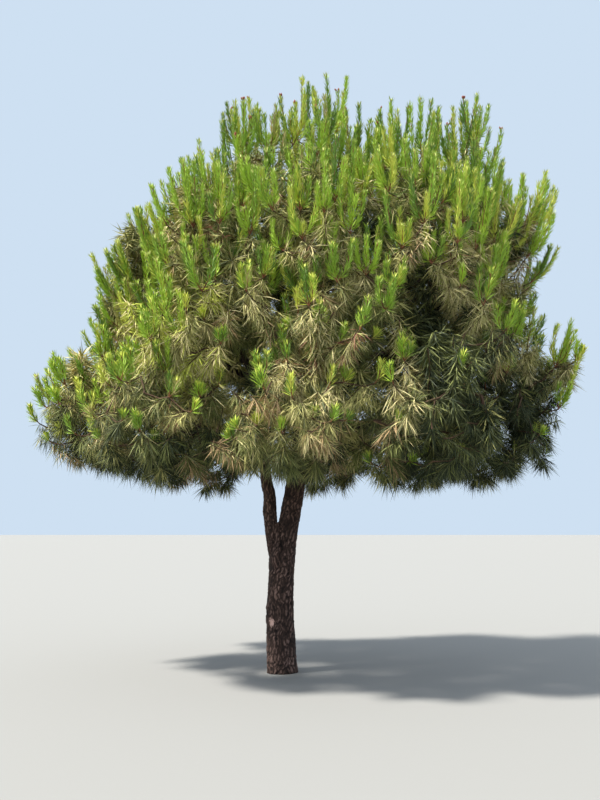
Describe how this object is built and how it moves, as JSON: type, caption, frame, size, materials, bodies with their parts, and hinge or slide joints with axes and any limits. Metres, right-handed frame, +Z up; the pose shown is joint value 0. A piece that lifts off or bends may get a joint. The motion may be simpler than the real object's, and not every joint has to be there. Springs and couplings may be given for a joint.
{
  "type": "pine tree",
  "caption": "Garden pine with a short trunk that forks into leaders, and a broad rounded crown of upright green shoots over drooping older needles",
  "frame": {"origin": "on the flat cut under the trunk, at ground level, in the middle of the trunk's foot", "axes": "+Z up along the trunk, +X to the right as seen from the front, -Y towards the front"},
  "size_m": [5.9779, 4.259, 6.6879],
  "materials": {
    "bark": "rough, dark red-brown, fissured plates",
    "bough_bark": "rough, brown, scaly",
    "needles": "satin, mid green with olive and straw older needles"
  },
  "bodies": {
    "root": {"bough_low_back": "bough_bark", "bough_low_front": "bough_bark", "bough_low_left": "bough_bark", "bough_low_left_back": "bough_bark", "bough_low_left_front": "bough_bark", "bough_low_right": "bough_bark", "bough_low_right_back": "bough_bark", "bough_low_right_front": "bough_bark", "bough_mid_back": "bough_bark", "bough_mid_front": "bough_bark", "bough_mid_left": "bough_bark", "bough_mid_left_back": "bough_bark", "bough_mid_left_front": "bough_bark", "bough_mid_right": "bough_bark", "bough_mid_right_back": "bough_bark", "bough_mid_right_front": "bough_bark", "bough_top_right": "bough_bark", "bough_upper_front": "bough_bark", "bough_upper_left": "bough_bark", "bough_upper_left_back": "bough_bark", "bough_upper_left_front": "bough_bark", "bough_upper_right": "bough_bark", "bough_upper_right_back": "bough_bark", "bough_upper_right_front": "bough_bark", "bough_upper_right_outer": "bough_bark", "leader_left": "bark", "leader_right": "bark", "limb_right": "bark", "needles_low_back": "needles", "needles_low_front": "needles", "needles_low_left": "needles", "needles_low_left_back": "needles", "needles_low_left_front": "needles", "needles_low_right": "needles", "needles_low_right_back": "needles", "needles_low_right_front": "needles", "needles_mid_back": "needles", "needles_mid_front": "needles", "needles_mid_left": "needles", "needles_mid_left_back": "needles", "needles_mid_left_front": "needles", "needles_mid_right": "needles", "needles_mid_right_back": "needles", "needles_mid_right_front": "needles", "needles_mid_right_outer": "needles", "needles_top_left": "needles", "needles_top_left_summit": "needles", "needles_top_right": "needles", "needles_top_right_summit": "needles", "needles_top_summit": "needles", "needles_upper_front": "needles", "needles_upper_left": "needles", "needles_upper_left_back": "needles", "needles_upper_left_front": "needles", "needles_upper_right": "needles", "needles_upper_right_back": "needles", "needles_upper_right_front": "needles", "needles_upper_right_outer": "needles", "trunk": "bark"}
  },
  "joints": []
}
